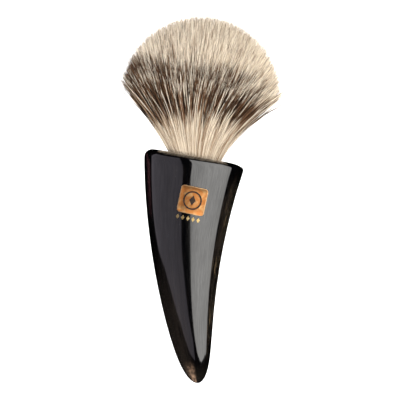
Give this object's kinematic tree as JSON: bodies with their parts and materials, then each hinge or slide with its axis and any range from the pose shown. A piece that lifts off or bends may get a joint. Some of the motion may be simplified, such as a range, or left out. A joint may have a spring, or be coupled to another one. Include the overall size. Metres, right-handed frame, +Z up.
{
  "type": "shaving brush",
  "caption": "Shaving brush with a curved pointed horn handle, inset metal badge and bulb-shaped banded hair knot, lying on its side.",
  "frame": {"origin": "middle of the bottom of the bounding box, on the surface the brush lies on", "axes": "+Y from the point of the horn to the crown of the hair, +Z up with the badge on top, +X to the right of the badge"},
  "size_m": [0.0624, 0.142, 0.0603],
  "materials": {
    "horn": "polished near-black horn with faint brown grain",
    "epoxy": "set two-part adhesive",
    "cup_plastic": "moulded black plastic",
    "cast_resin": "amber cast resin",
    "waxed_thread": "waxed linen thread",
    "badger_hair": "cream hair with a dark band across the middle of its length",
    "copper_plate": "satin copper-gold metal",
    "dark_enamel": "dark brown enamel fill",
    "gold_foil": "polished gold foil"
  },
  "bodies": {
    "root": {"horn_handle": "horn", "socket_adhesive": "epoxy", "knot_cup": "cup_plastic", "resin_plug": "cast_resin", "binding_thread": "waxed_thread", "hair_knot": "badger_hair", "badge_adhesive": "epoxy", "badge_plate": "copper_plate", "badge_ring_inlay": "dark_enamel", "badge_lozenge_inlay": "dark_enamel", "foil_lozenge_1": "gold_foil", "foil_lozenge_2": "gold_foil", "foil_lozenge_3": "gold_foil", "foil_lozenge_4": "gold_foil", "foil_lozenge_5": "gold_foil"}
  },
  "joints": []
}
